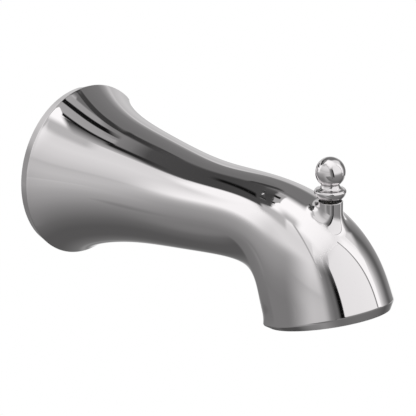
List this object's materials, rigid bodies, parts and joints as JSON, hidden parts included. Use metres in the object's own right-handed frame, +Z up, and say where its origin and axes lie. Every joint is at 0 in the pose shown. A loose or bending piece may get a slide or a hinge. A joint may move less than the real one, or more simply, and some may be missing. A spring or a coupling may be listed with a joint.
{
  "type": "bath spout",
  "caption": "Chrome-plated bath spout with a flared wall end, a bell-shaped outlet that turns down, and a lift knob that raises a diverter gate inside.",
  "frame": {"origin": "centre of the flare's face against the wall, on the level centreline of the neck", "axes": "+X out from the wall along the neck, +Z up, and the part is the same on both sides of Y = 0"},
  "size_m": [0.1777, 0.0758, 0.0783],
  "materials": {
    "chrome_plate": "polished",
    "black_acetal": "moulded",
    "white_acetal": "moulded",
    "black_rubber": "moulded",
    "stainless_steel": "turned",
    "turned_brass": "turned"
  },
  "bodies": {
    "spout": {"spout_body": "chrome_plate", "rod_bushing": "black_acetal", "rod_o_ring": "black_rubber", "slip_adapter": "turned_brass", "tube_o_rings": "black_rubber", "adapter_o_ring": "black_rubber", "set_screw": "stainless_steel"},
    "diverter": {"diverter_knob": "chrome_plate", "lift_rod": "stainless_steel", "diverter_gate": "white_acetal", "gate_washer": "black_rubber", "rod_nut": "stainless_steel"}
  },
  "joints": [
    {"name": "diverter_lift", "type": "slide", "parent": "spout", "child": "diverter", "axis": [0, 0, 1], "range_m": [0, 0.01]}
  ]
}
